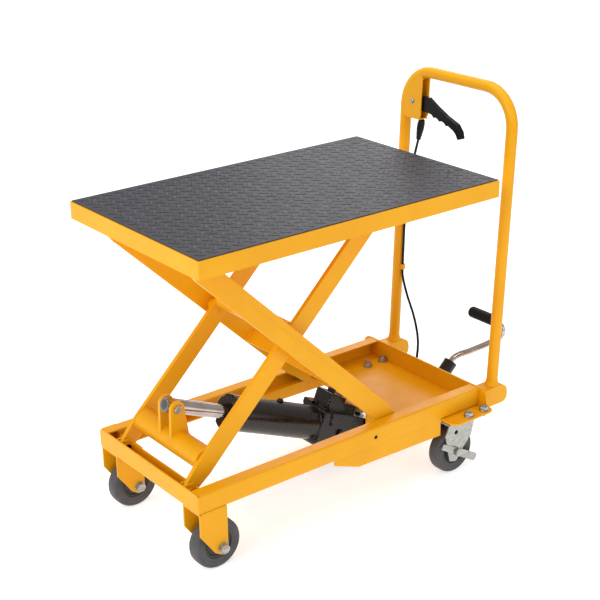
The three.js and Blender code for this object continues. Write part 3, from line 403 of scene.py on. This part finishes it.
def lathe(bm, profile, matrix=None, sides=64, closed=False):
    """Turns [radius, height] points about Z; the ends close on the axis unless the profile is a loop."""
    rings = []
    for radius, height in profile:
        if radius < 1e-7:
            rings.append([bm.verts.new((0, 0, height))])
            continue
        ring = []
        for i in range(sides):
            angle = 2 * math.pi * i / sides
            ring.append(bm.verts.new((radius * math.cos(angle), radius * math.sin(angle), height)))
        rings.append(ring)
    pairs = list(zip(rings, rings[1:]))
    if closed:
        pairs.append((rings[-1], rings[0]))
    for low, high in pairs:
        for i in range(sides):
            j = (i + 1) % sides
            corners = [low[i % len(low)], low[j % len(low)], high[j % len(high)], high[i % len(high)]]
            unique = list(dict.fromkeys(corners))
            if len(unique) > 2:
                bm.faces.new(unique)
    if matrix:
        verts = [v for ring in rings for v in ring]
        bmesh.ops.transform(bm, matrix=matrix, verts=verts)


def turned_piece(name, profile, place, direction, material, body, sides=64, closed=False):
    bm = bmesh.new()
    lathe(bm, profile, frame_along(direction, place), sides, closed)
    return add_piece(name, bm, material, body)


def hexagon(bm, across, height, matrix):
    """A hexagon nut or head with its upper corners turned down, standing on Z = 0."""
    radius = across / math.sqrt(3)
    turned = across / 2 * 0.98
    drop = height * 0.14
    lower, upper, top = [], [], []
    for i in range(6):
        angle = math.pi * i / 3
        ca, sa = math.cos(angle), math.sin(angle)
        lower.append(bm.verts.new((radius * ca, radius * sa, 0)))
        upper.append(bm.verts.new((radius * ca, radius * sa, height - drop)))
    for i in range(24):
        angle = math.pi * i / 12
        top.append(bm.verts.new((turned * math.cos(angle), turned * math.sin(angle), height)))
    bm.faces.new(lower[::-1])
    bm.faces.new(top)
    for i in range(6):
        j = (i + 1) % 6
        bm.faces.new((lower[i], lower[j], upper[j], upper[i]))
        fan = [top[(4 * i + k) % 24] for k in range(5)]
        bm.faces.new((upper[i], upper[j], *reversed(fan)))
    bmesh.ops.transform(bm, matrix=matrix, verts=lower + upper + top)


def washer(bm, inner, outer, thickness, matrix):
    edge = thickness * 0.25
    profile = [
        (inner, 0), (outer - edge, 0), (outer, edge), (outer, thickness - edge),
        (outer - edge, thickness), (inner, thickness),
    ]
    lathe(bm, profile, matrix, 32, closed=True)


def thread_end(bm, radius, height, matrix):
    """The ridged end of a bolt, standing on Z = 0."""
    pitch = 1.4 * MM
    profile = [(0, 0), (radius, 0)]
    rise = pitch / 2
    while rise < height - pitch:
        profile += [(radius, rise), (radius * 0.88, rise + pitch / 2)]
        rise += pitch
    profile += [(radius, height - pitch * 0.8), (radius * 0.8, height), (0, height)]
    lathe(bm, profile, matrix, 24)


def nut_and_bolt(bm, place, direction, across, thread=3.5 * MM, size=None):
    """A washer, a nut and the bolt's end on it."""
    base = frame_along(direction, place)
    hole = size or across * 0.36
    washer(bm, hole, across * 0.64, 1.4 * MM, base)
    lift = Matrix.Translation((0, 0, 1.4 * MM))
    height = across * 0.5
    hexagon(bm, across, height, base @ lift)
    thread_end(bm, across * 0.3, height + thread, base @ lift)


def bolt_head(bm, place, direction, across):
    base = frame_along(direction, place)
    washer(bm, across * 0.3, across * 0.66, 1.4 * MM, base)
    hexagon(bm, across, across * 0.42, base @ Matrix.Translation((0, 0, 1.4 * MM)))


def bead(bm, points, radius, rng, closed=True, sides=8):
    """A weld bead: a tube through the points whose thickness ripples like laid-down weld."""
    rings = []
    count = len(points)
    for i, point in enumerate(points):
        ahead = points[(i + 1) % count] if closed or i + 1 < count else point
        behind = points[i - 1] if closed or i else point
        matrix = frame_along(ahead - behind, point)
        swell = radius * (1 + 0.16 * math.sin(i * 2.4) + rng.uniform(-0.08, 0.08))
        ring = []
        for k in range(sides):
            angle = 2 * math.pi * k / sides
            ring.append(bm.verts.new(matrix @ Vector((swell * math.cos(angle), swell * math.sin(angle), 0))))
        rings.append(ring)
    pairs = list(zip(rings, rings[1:]))
    if closed:
        pairs.append((rings[-1], rings[0]))
    for low, high in pairs:
        offset = min(range(sides), key=lambda s: (low[0].co - high[s].co).length)
        for k in range(sides):
            a, b = low[k], low[(k + 1) % sides]
            c, d = high[(k + 1 + offset) % sides], high[(k + offset) % sides]
            bm.faces.new((a, b, c, d))
    if not closed:
        bm.faces.new(rings[0][::-1])
        bm.faces.new(rings[-1])


def circle(centre, direction, radius, count):
    matrix = frame_along(direction, centre)
    turns = [2 * math.pi / count * i for i in range(count)]
    return [matrix @ Vector((radius * math.cos(turn), radius * math.sin(turn), 0)) for turn in turns]


def centre_of(node):
    low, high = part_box(node)
    return (low + high) / 2


# ------------------------------------------------------------------ where things are
PIVOT = Vector(JOINTS["lift"]["pos_m"])
CENTRE = Vector(JOINTS["scissor"]["pos_m"])
CLEVIS = Vector(JOINTS["ram_head"]["pos_m"])
PLATFORM_PIVOT = Vector(JOINTS["platform_pivot"]["pos_m"])
RAM_AXIS = Vector(JOINTS["ram_stroke"]["axis"]).normalized()
RAM_UP = Vector((-RAM_AXIS.z, 0, RAM_AXIS.x))
RAM_LENGTH = 535.24 * MM          # clevis pin to foot pin
FOOT = CLEVIS + RAM_AXIS * RAM_LENGTH
HANDLE_LEAN = math.radians(2.8)
HANDLE_UP = Vector((math.sin(HANDLE_LEAN), 0, math.cos(HANDLE_LEAN)))
HANDLE_FORE = Vector((math.cos(HANDLE_LEAN), 0, -math.sin(HANDLE_LEAN)))
HANDLE_FOOT = Vector((0.355, 0, 0.1275))

# In mm, as the CAD frame has them; the arms' lengths and heights are from their fixed pivots.
POST_Y = 163
LEVER_Y = 131                     # release lever pivot, on the handle
LEVER_HEIGHT = 626.7
INNER_ARM_Y = 117
OUTER_ARM_Y = 147
ARM_HALF = 5
CLEVIS_ALONG = 118
CLEVIS_ABOVE = 56.9
CROSS_TUBE_ALONG = 67.6
CROSS_TUBE_RADIUS = 25
CENTRE_TUBE_ALONG = 365
CENTRE_TUBE_ABOVE = 8
CROSS_PLATE_ALONG = 479.6
RAIL_FACE = 182                   # outer faces of the side rails and front forks
FORK_FACE = 123                   # inner faces of the front forks
TRAY_THICKNESS = 3.5
PIVOT_PIN_REACH = 13              # half the length of a base pivot pin
CLEVIS_CAP_Y = 26.9
FRONT_BOSS = 24                   # half the width over a hub's bosses
REAR_BOSS = 17.4
TUBE_WELD = -157                  # joint of cylinder and casting, from the foot pin along the ram
GLAND_RING = -393                 # front of the locking ring, likewise


def along_arm(start, end, along, y, above):
    """A point given in mm in the frame of an arm that runs from start to end."""
    axis = (end - start).normalized()
    up = Vector((-axis.z, 0, axis.x))
    return start + (axis * along + Y_AXIS * y + up * above) * MM


def on_inner(along, y, above):
    return along_arm(PIVOT, CENTRE, along, y, above)


def on_outer(along, y, above):
    return along_arm(PLATFORM_PIVOT, CENTRE, along, y, above)


def on_ram(x, y, z):
    """A point given in mm from the pump's foot pin, x back along the ram and z square to it."""
    return FOOT + (RAM_AXIS * x + Y_AXIS * y + RAM_UP * z) * MM


def on_handle(x, y, height):
    return HANDLE_FOOT + (HANDLE_FORE * x + Y_AXIS * y + HANDLE_UP * height) * MM


def scaled(profile):
    return [(a * MM, b * MM) for a, b in profile]


# ------------------------------------------------------------------ the ribbed mat
def lozenge(bm, x, y, z, turn):
    """One raised tread mark: a long pad with pointed ends and sloping flanks."""
    length, width, height = 23 * MM, 4.6 * MM, 0.6 * MM
    ca, sa = math.cos(turn), math.sin(turn)
    outline = ((-0.5, 0), (-0.28, -0.5), (0.28, -0.5), (0.5, 0), (0.28, 0.5), (-0.28, 0.5))

    def ring(shrink, level):
        corners = []
        for a, b in outline:
            u, v = a * length * (1 - shrink * 0.25), b * width * (1 - shrink)
            corners.append(bm.verts.new((x + u * ca - v * sa, y + u * sa + v * ca, level)))
        return corners

    low = ring(0.0, z - 0.1 * MM)
    high = ring(0.5, z + height)
    bm.faces.new(high)
    bm.faces.new(low[::-1])
    for i in range(6):
        j = (i + 1) % 6
        bm.faces.new((low[i], low[j], high[j], high[i]))


def mat_tread():
    """Two square grids of lozenges, one leaning each way, half a pitch apart, darker than the mat as painted
    shade for their shadowed flanks.
    """
    low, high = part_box("platform_mat")
    pitch = 27 * MM
    margin = 9 * MM
    columns = int((high.x - low.x) / pitch) + 1
    rows = int((high.y - low.y) / pitch) + 1
    middle = (low + high) / 2
    bm = bmesh.new()
    for shift, turn in ((0.0, math.radians(-45)), (0.5, math.radians(45))):
        for column in range(columns + 1):
            for row in range(rows + 1):
                x = middle.x + (column + shift - columns / 2) * pitch
                y = middle.y + (row + shift - rows / 2) * pitch
                inside_x = low.x + margin < x < high.x - margin
                if inside_x and low.y + margin < y < high.y - margin:
                    lozenge(bm, x, y, high.z, turn)
    # The tread colour is painted shade.
    add_piece("mat_tread", bm, TREAD_SHADE, "platform")


# ------------------------------------------------------------------ wheels
TYRE_SIDE = [(31, 13.6), (33, 14.6), (36.5, 14.9), (37.1, 14.2), (38.0, 14.2), (38.6, 14.9), (44.2, 15.0),
             (44.8, 14.4), (45.6, 14.4), (46.2, 15.0), (48.6, 14.7), (50.6, 13.2), (51.9, 10.8), (52.4, 7.5),
             (52.5, 3.0)]
HUB_SIDE = [(30.7, 11.0), (30.2, 11.6), (27.6, 11.6), (26.8, 10.6), (25.4, 7.4), (23.6, 7.0), (22.8, 7.9),
            (21.4, 7.9), (20.6, 7.0), (17.2, 7.0), (15.4, 8.4), (13.6, 10.6)]


def mirrored(side):
    """A closed lathe profile from its far half, in mm."""
    back = [(radius, -height) for radius, height in reversed(side)]
    return scaled(side + back)


def wheel(stem, side, boss):
    tyre_node, hub_node = f"{stem}_tyre_{side}", f"{stem}_hub_{side}"
    body = f"{stem}_wheel_{side}"
    centre = centre_of(tyre_node)
    tyre = turned_piece(f"{tyre_node}_turned", mirrored(TYRE_SIDE), centre, Y_AXIS, TYRE, body,
                        96, closed=True)
    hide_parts(tyre_node)
    hub_profile = HUB_SIDE + [(12.6, boss - 1), (12.0, boss), (7.6, boss), (6.4, boss - 1.0)]
    hub = turned_piece(f"{hub_node}_turned", mirrored(hub_profile), centre, Y_AXIS, CORE, body,
                       72, closed=True)
    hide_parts(hub_node)


# ------------------------------------------------------------------ nuts, bolts and pins
def front_axle(side, sign):
    node = f"front_axle_{side}"
    low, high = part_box(node)
    centre = (low + high) / 2
    outer = Vector((centre.x, sign * (RAIL_FACE + 0.3) * MM, centre.z))
    inner = Vector((centre.x, sign * (FORK_FACE - 0.3) * MM, centre.z))
    bm = bmesh.new()
    lathe(bm, scaled([(0, -1), (6, -1), (6, 60.6), (0, 60.6)]), frame_along(Y_AXIS * sign, inner), 32)
    nut_and_bolt(bm, outer, Y_AXIS * sign, 18 * MM, 1.6 * MM)
    bolt_head(bm, inner, Y_AXIS * -sign, 18 * MM)
    piece = add_piece(f"{node}_bolt", bm, ZINC, "base")
    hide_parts(node)


def tray_nuts(side):
    centre = centre_of(f"caster_plate_{side}")
    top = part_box("pump_bracket")[1].z + (TRAY_THICKNESS + 0.6) * MM
    bm = bmesh.new()
    for dx in (-23, 23):
        for dy in (-40, 40):
            place = Vector((centre.x + dx * MM, centre.y + dy * MM, top))
            nut_and_bolt(bm, place, Z_AXIS, 17 * MM, 3 * MM)
    add_piece(f"tray_nuts_{side}", bm, ZINC, "base")


def dome(bm, place, direction, radius, height):
    """A low rounded rivet or pin head."""
    profile = [(radius * 0.96, -0.2 * MM), (radius, 0.25 * height)]
    for i in range(1, 6):
        angle = math.pi / 2 * i / 5
        profile.append((radius * math.cos(angle), height * (0.25 + 0.75 * math.sin(angle))))
    profile[-1] = (0, height)
    lathe(bm, [(0, -0.2 * MM)] + profile, frame_along(direction, place), 40)


def pin_head(name, body, place, direction, radius, height, material=ZINC):
    bm = bmesh.new()
    dome(bm, place, direction, radius * MM, height * MM)
    add_piece(name, bm, material, body)


def hole_shade_disc(name, body, place, direction, radius):
    """A disc of painted shade for the dark mouth of a small hole, a hair above the face it is drilled in."""
    bm = bmesh.new()
    lathe(bm, scaled([(0, 0.02), (radius, 0.02), (radius, 0.12), (radius * 0.9, 0.2), (0, 0.14)]),
          frame_along(direction, place), 28)
    add_piece(name, bm, PAINTED_SHADE, body)


def fork_holes(side, sign):
    """The small hole in each cheek of a caster fork, above the axle, drawn as a disc of painted shade."""
    caster_axle = Vector(JOINTS[f"rear_wheel_spin_{side}"]["pos_m"])
    for face in (-1, 1):
        label = "outer" if face == sign else "inner"
        place = caster_axle + Vector((-2.7, face * 21, 47.2)) * MM
        hole_shade_disc(f"fork_hole_{side}_{label}", f"caster_{side}", place, Y_AXIS * face, 5)


def pin_ends(side, sign):
    """The ends of the pivot, centre and clevis pins, and the hole in the side rail; the inner pivot pin ends
    and the rail hole are dark painted shade.
    """
    pivot_end = PIVOT + Y_AXIS * sign * (INNER_ARM_Y - PIVOT_PIN_REACH) * MM
    # The inner pivot pin end is drawn dark, as painted shade.
    pin_head(f"pivot_end_{side}", "base", pivot_end, Y_AXIS * -sign, 8.4, 1.6, PAINTED_SHADE)
    centre_end = CENTRE + Y_AXIS * sign * (OUTER_ARM_Y + ARM_HALF - 0.1) * MM
    pin_head(f"centre_pin_end_{side}", "inner_arms", centre_end, Y_AXIS * sign, 8.8, 0.2, FRAME_PAINT)
    rail_hole = Vector((-1, sign * (RAIL_FACE + 0.1), 161.5)) * MM
    hole_shade_disc(f"rail_hole_{side}", "base", rail_hole, Y_AXIS * sign, 4.2)
    clevis_end = CLEVIS + Y_AXIS * sign * CLEVIS_CAP_Y * MM
    pin_head(f"clevis_cap_{side}", "inner_arms", clevis_end, Y_AXIS * sign, 8.8, 1.4)


def handle_bolt():
    node = "lever_pivot_bolt"
    reach = 12.8
    bm = bmesh.new()
    for sign in (-1, 1):
        place = on_handle(sign * (reach - 0.2), LEVER_Y, LEVER_HEIGHT)
        washer(bm, 3.6 * MM, 6.2 * MM, 0.8 * MM, frame_along(HANDLE_FORE * sign, place))
        dome(bm, place + HANDLE_FORE * sign * 0.8 * MM, HANDLE_FORE * sign, 4.6 * MM, 2.4 * MM)
    span = on_handle(-reach, LEVER_Y, LEVER_HEIGHT)
    lathe(bm, scaled([(0, 0), (4, 0), (4, 2 * reach), (0, 2 * reach)]), frame_along(HANDLE_FORE, span), 24)
    piece = add_piece(f"{node}_turned", bm, ZINC, "base")
    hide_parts(node)


# ------------------------------------------------------------------ welds
def weld_ring(name, body, centre, direction, radius, bead_radius=2.0, count=72):
    bm = bmesh.new()
    bead(bm, circle(centre, direction, radius * MM, count), bead_radius * MM, random.Random(name))
    add_piece(name, bm, FRAME_PAINT, body)


def weld_line(name, body, points, bead_radius=1.8, step=3.0):
    """A bead along straight runs between the points."""
    path = [points[0]]
    for start, end in zip(points, points[1:]):
        count = max(2, round((end - start).length / (step * MM)))
        path += [start.lerp(end, i / count) for i in range(1, count + 1)]
    bm = bmesh.new()
    bead(bm, path, bead_radius * MM, random.Random(name), closed=False)
    add_piece(name, bm, FRAME_PAINT, body)


def weld_arc(name, body, place, count, bead_radius):
    bm = bmesh.new()
    points = [place(i / (count - 1)) for i in range(count)]
    bead(bm, points, bead_radius * MM, random.Random(name), closed=False)
    add_piece(name, bm, FRAME_PAINT, body)


def post_collar(side, sign):
    """The flared fillet at the foot of a handle post."""
    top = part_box(f"handle_socket_{side}")[1].z
    height = (top - HANDLE_FOOT.z) / MM / math.cos(HANDLE_LEAN)
    place = on_handle(0, sign * POST_Y, height)
    profile = [(12.3, 15), (12.8, 13), (13.4, 9), (14.4, 5.5), (15.8, 2.6), (17.2, 0.7), (17.6, -0.4)]
    profile.append((12.3, -0.6))
    turned_piece(f"post_collar_{side}", scaled(profile), place, HANDLE_UP, FRAME_PAINT, "base",
                 56, closed=True)


def socket_welds(side):
    low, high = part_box(f"handle_socket_{side}")
    x = low.x - 0.6 * MM
    near, far = low.y, high.y
    top = high.z - 0.4 * MM
    foot = low.z + 22 * MM
    route = ((near, foot), (near, top), (far, top), (far, foot))
    corners = [Vector((x, y, z)) for y, z in route]
    weld_line(f"socket_weld_{side}", "base", corners, 2.0)


def arm_welds(side, sign):
    face = sign * (INNER_ARM_Y - ARM_HALF - 0.6)
    cross_tube = on_inner(CROSS_TUBE_ALONG, face, 0)
    weld_ring(f"cross_tube_weld_{side}", "inner_arms", cross_tube, Y_AXIS, 24.6, 2.4, 84)
    centre_tube = on_inner(CENTRE_TUBE_ALONG, face, CENTRE_TUBE_ABOVE)
    weld_ring(f"centre_tube_weld_{side}", "inner_arms", centre_tube, Y_AXIS, 18.7, 1.9, 64)
    outer_face = sign * (OUTER_ARM_Y - ARM_HALF - 0.6)
    ends = [on_outer(CROSS_PLATE_ALONG, outer_face, above) for above in (6.8, -20)]
    weld_line(f"cross_plate_weld_{side}", "outer_arms", ends, 1.8)


def ear_welds():
    """Short beads on both faces of each clevis ear, where it stands on the cross tube."""
    lean = math.atan2(CLEVIS_ABOVE, CLEVIS_ALONG - CROSS_TUBE_ALONG)
    for i, y in enumerate((-24.2, -15.2, 15.2, 24.2)):
        def place(t, y=y):
            angle = lean + math.radians(-64 + 128 * t)
            along = CROSS_TUBE_ALONG + CROSS_TUBE_RADIUS * math.cos(angle)
            return on_inner(along, y, CROSS_TUBE_RADIUS * math.sin(angle))
        weld_arc(f"clevis_weld_{i}", "inner_arms", place, 22, 1.5)


def fork_welds(side, sign):
    low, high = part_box(f"front_fork_{side}")
    z = high.z + 0.1 * MM
    for label, y in (("outer", RAIL_FACE - 0.2), ("inner", FORK_FACE + 0.2)):
        ends = [Vector((x, sign * y * MM, z)) for x in (low.x + 3 * MM, high.x - 3 * MM)]
        weld_line(f"fork_weld_{label}_{side}", "base", ends, 2.2)


# ------------------------------------------------------------------ ram and pump
def rod_nose():
    """The dull end face of the rod, set in a ring of painted shade in its groove."""
    end = CLEVIS - RAM_AXIS * 18 * MM
    profile = [(0, -0.5), (9.6, -0.5), (10.4, -0.1), (10.6, 0.7), (12.3, 0.9), (12.9, 0.3)]
    profile += [(12.9, 1.2), (0, 1.2)]
    face = end + RAM_AXIS * 0.2 * MM
    turned_piece("rod_nose", scaled(profile), face, RAM_AXIS, DULL_STEEL, "rod", 48)
    # A dark ring of painted shade in the groove round the end face.
    ring = scaled([(10.5, 0.0), (12.5, 0.0), (12.5, 0.6), (10.5, 0.6)])
    turned_piece("rod_nose_ring", ring, face, RAM_AXIS, PAINTED_SHADE, "rod", 48, closed=True)


def gland_ring():
    """The notched locking ring that closes the cylinder: a shell, open at both of its ends."""
    start = on_ram(GLAND_RING, 0, 0)
    bm = bmesh.new()
    sides = 96
    stations = [(17.0, 0.6), (20.0, 0.0), (36.6, 0.0), (38.3, 1.2), (38.3, 14.6), (36.8, 15.8)]
    rings = []
    for radius, height in stations:
        ring = []
        for i in range(sides):
            notch = 2.6 if radius > 30 and (i % 12) in (0, 1, 2) else 0
            angle = 2 * math.pi * i / sides
            reach = (radius - notch) * MM
            ring.append(bm.verts.new((reach * math.cos(angle), reach * math.sin(angle), height * MM)))
        rings.append(ring)
    for low, high in zip(rings, rings[1:]):
        for i in range(sides):
            j = (i + 1) % sides
            bm.faces.new((low[i], low[j], high[j], high[i]))
    bmesh.ops.transform(bm, matrix=frame_along(RAM_AXIS, start), verts=bm.verts)
    add_piece("gland_ring", bm, CASTING, "pump")


def rod_wiper():
    start = on_ram(GLAND_RING - 2.5, 0, 0)
    profile = [(15.2, 0), (15.6, -0.6), (17.6, -0.6), (19.4, 0.8), (20.0, 3.0), (15.2, 3.0)]
    turned_piece("rod_wiper", scaled(profile), start, RAM_AXIS, RUBBER, "pump", 56,
                 closed=True)


def tube_weld():
    bm = bmesh.new()
    points = circle(on_ram(TUBE_WELD, 0, 0), RAM_AXIS, 37.2 * MM, 110)
    bead(bm, points, 2.4 * MM, random.Random("tube weld"))
    add_piece("tube_weld", bm, CASTING, "pump")


def pump_seam():
    """The lumpy seam of run paint down the joint of the pump's casting."""
    rng = random.Random("pump seam")
    corners = [(-141, -23, 74), (-141, -23, 44), (-134, -39, 34), (-128, -39.5, 8)]
    path = [on_ram(*corners[0])]
    for start, end in zip(corners, corners[1:]):
        a, b = on_ram(*start), on_ram(*end)
        for i in range(1, 13):
            wobble = Vector((rng.uniform(-1, 1), rng.uniform(-0.8, 0.8), rng.uniform(-1, 1))) * 1.0 * MM
            path.append(a.lerp(b, i / 12) + wobble)
    bm = bmesh.new()
    bead(bm, path, 3.0 * MM, rng, closed=False, sides=10)
    add_piece("pump_seam", bm, CASTING, "pump")


def pump_fittings():
    """Hexagon plugs on the pump casting."""
    bm = bmesh.new()
    for x, y, z, across in ((-118, 4, 72.6, 17), (-75, 6, 55.8, 14), (-30, -8, 33.4, 12)):
        hexagon(bm, across * MM, across * 0.55 * MM, frame_along(RAM_UP, on_ram(x, y, z)))
    for x, z, across in ((-96, -6, 15), (-52, -14, 12)):
        hexagon(bm, across * MM, across * 0.4 * MM, frame_along(-Y_AXIS, on_ram(x, -37.8, z)))
    add_piece("pump_fittings", bm, CASTING, "pump")


# ------------------------------------------------------------------ pedal grip
def ribbed_grip():
    node = "pedal_grip"
    low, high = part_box(node)
    centre = (low + high) / 2
    length = (high.y - low.y) / MM
    outer = (high.x - low.x) / 2 / MM
    profile = [(0, 0), (outer - 4.5, 0), (outer - 2, 0.8), (outer - 0.3, 3.2), (outer, 6)]
    rise = 9.0
    while rise < length - 9:
        profile += [(outer, rise), (outer - 0.8, rise + 0.9), (outer - 0.8, rise + 1.9), (outer, rise + 2.8)]
        rise += 5.2
    profile += [(outer, length - 5), (outer - 1.2, length - 1.2), (outer - 3, length)]
    profile += [(7.2, length), (7.2, length - 6), (0, length - 6)]
    end = Vector((centre.x, high.y, centre.z))
    grip = turned_piece("pedal_grip_ribbed", scaled(profile), end, -Y_AXIS, RUBBER, "pedal",
                        56)
    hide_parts(node)


# ------------------------------------------------------------------ every carried-over node
SHARP_NODES = ["front_channel", "rear_tray", "lever_housing", "pump_bracket", "outer_cross_plate"]
SHARP_NODES += ["platform_deck", "inner_cross_tube", "inner_centre_tube", "gland_nut", "cylinder_tube"]
SHARP_NODES += ["piston_rod", "clevis_pin", "valve_arm", "filler_plug", "pedal_lever", "platform_mat"]
for side, _ in SIDES:
    for stem in ("side_rail", "handle_socket", "front_fork", "caster_plate", "caster_fork",
                 "brake_lever", "inner_arm", "outer_arm", "centre_pin", "platform_track",
                 "platform_bracket", "base_roller", "platform_roller"):
        SHARP_NODES.append(f"{stem}_{side}")
for name in ("centre_pin_left", "centre_pin_right"):
    shrink(name, 0.0001)
for name in SHARP_NODES:
    dress(name)
mould("pump_block", 1.4 * MM, 3)
paint(NODES["pump_block"], CASTING)
for name in ("release_lever", "cable_boot"):
    mould(name, 0.7 * MM, 6)
for name in ("handle_tube", "pedal_arm", "release_cable"):
    dress(name, edge=0)

# ------------------------------------------------------------------ the detail
mat_tread()
for side, sign in SIDES:
    wheel("front", side, FRONT_BOSS)
    wheel("rear", side, REAR_BOSS)
    front_axle(side, sign)
    tray_nuts(side)
    post_collar(side, sign)
    socket_welds(side)
    arm_welds(side, sign)
    fork_welds(side, sign)
    fork_holes(side, sign)
    pin_ends(side, sign)
ear_welds()
handle_bolt()
rod_nose()
gland_ring()
rod_wiper()
tube_weld()
pump_seam()
pump_fittings()
ribbed_grip()
